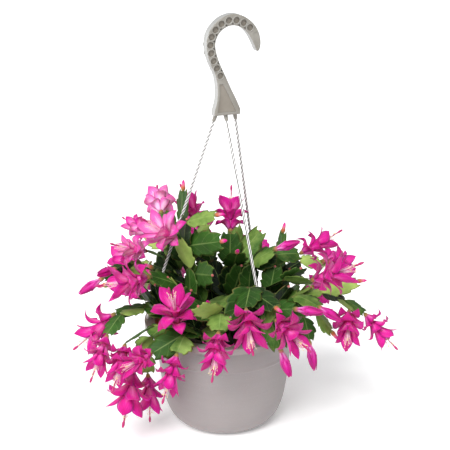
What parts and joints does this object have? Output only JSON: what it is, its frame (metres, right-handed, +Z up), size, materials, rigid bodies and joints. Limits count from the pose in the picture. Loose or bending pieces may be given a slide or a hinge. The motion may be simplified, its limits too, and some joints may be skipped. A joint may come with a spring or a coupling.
{
  "type": "hanging potted holiday cactus",
  "caption": "Round bowl-shaped hanging pot with a wide rim, hung by twisted cords from a J-shaped hook, full of arching toothed leafy stems with layered blooms.",
  "frame": {"origin": "the underside of the hook's crown, where a bar or bracket carries it", "axes": "+Z up along the hanging line, -Y the side seen in the picture, +X to its right"},
  "size_m": [0.4076, 0.3571, 0.5324],
  "materials": {
    "pot": "satin",
    "soil": "matte",
    "hook": "satin",
    "cord": "matte",
    "pin": "satin",
    "stem": "satin",
    "petals": "satin"
  },
  "bodies": {
    "root": {"pot": "pot", "soil": "soil", "hook": "hook", "cord_left": "cord", "cord_front": "cord", "cord_back": "cord", "cord_pin_left": "pin", "cord_pin_front": "pin", "cord_pin_back": "pin", "stem_01": "stem", "stem_02": "stem", "stem_03": "stem", "stem_04": "stem", "stem_05": "stem", "stem_06": "stem", "stem_07": "stem", "stem_08": "stem", "stem_09": "stem", "stem_10": "stem", "stem_11": "stem", "stem_12": "stem", "stem_13": "stem", "stem_14": "stem", "stem_15": "stem", "stem_16": "stem", "stem_17": "stem", "stem_18": "stem", "stem_19": "stem", "stem_20": "stem", "bloom_01": "petals", "bloom_02": "petals", "bloom_03": "petals", "bloom_04": "petals", "bloom_05": "petals", "bloom_06": "petals", "bloom_07": "petals", "bloom_08": "petals", "bloom_09": "petals", "bloom_10": "petals", "bloom_11": "petals", "bloom_12": "petals", "bloom_13": "petals", "bloom_14": "petals", "bloom_15": "petals", "bloom_16": "petals", "bloom_17": "petals", "bloom_18": "petals", "bloom_19": "petals", "bloom_20": "petals", "bloom_21": "petals", "bloom_22": "petals", "bloom_23": "petals", "bloom_24": "petals", "bloom_25": "petals", "bloom_26": "petals", "bloom_27": "petals", "bloom_28": "petals", "bloom_29": "petals", "bloom_30": "petals"}
  },
  "joints": []
}
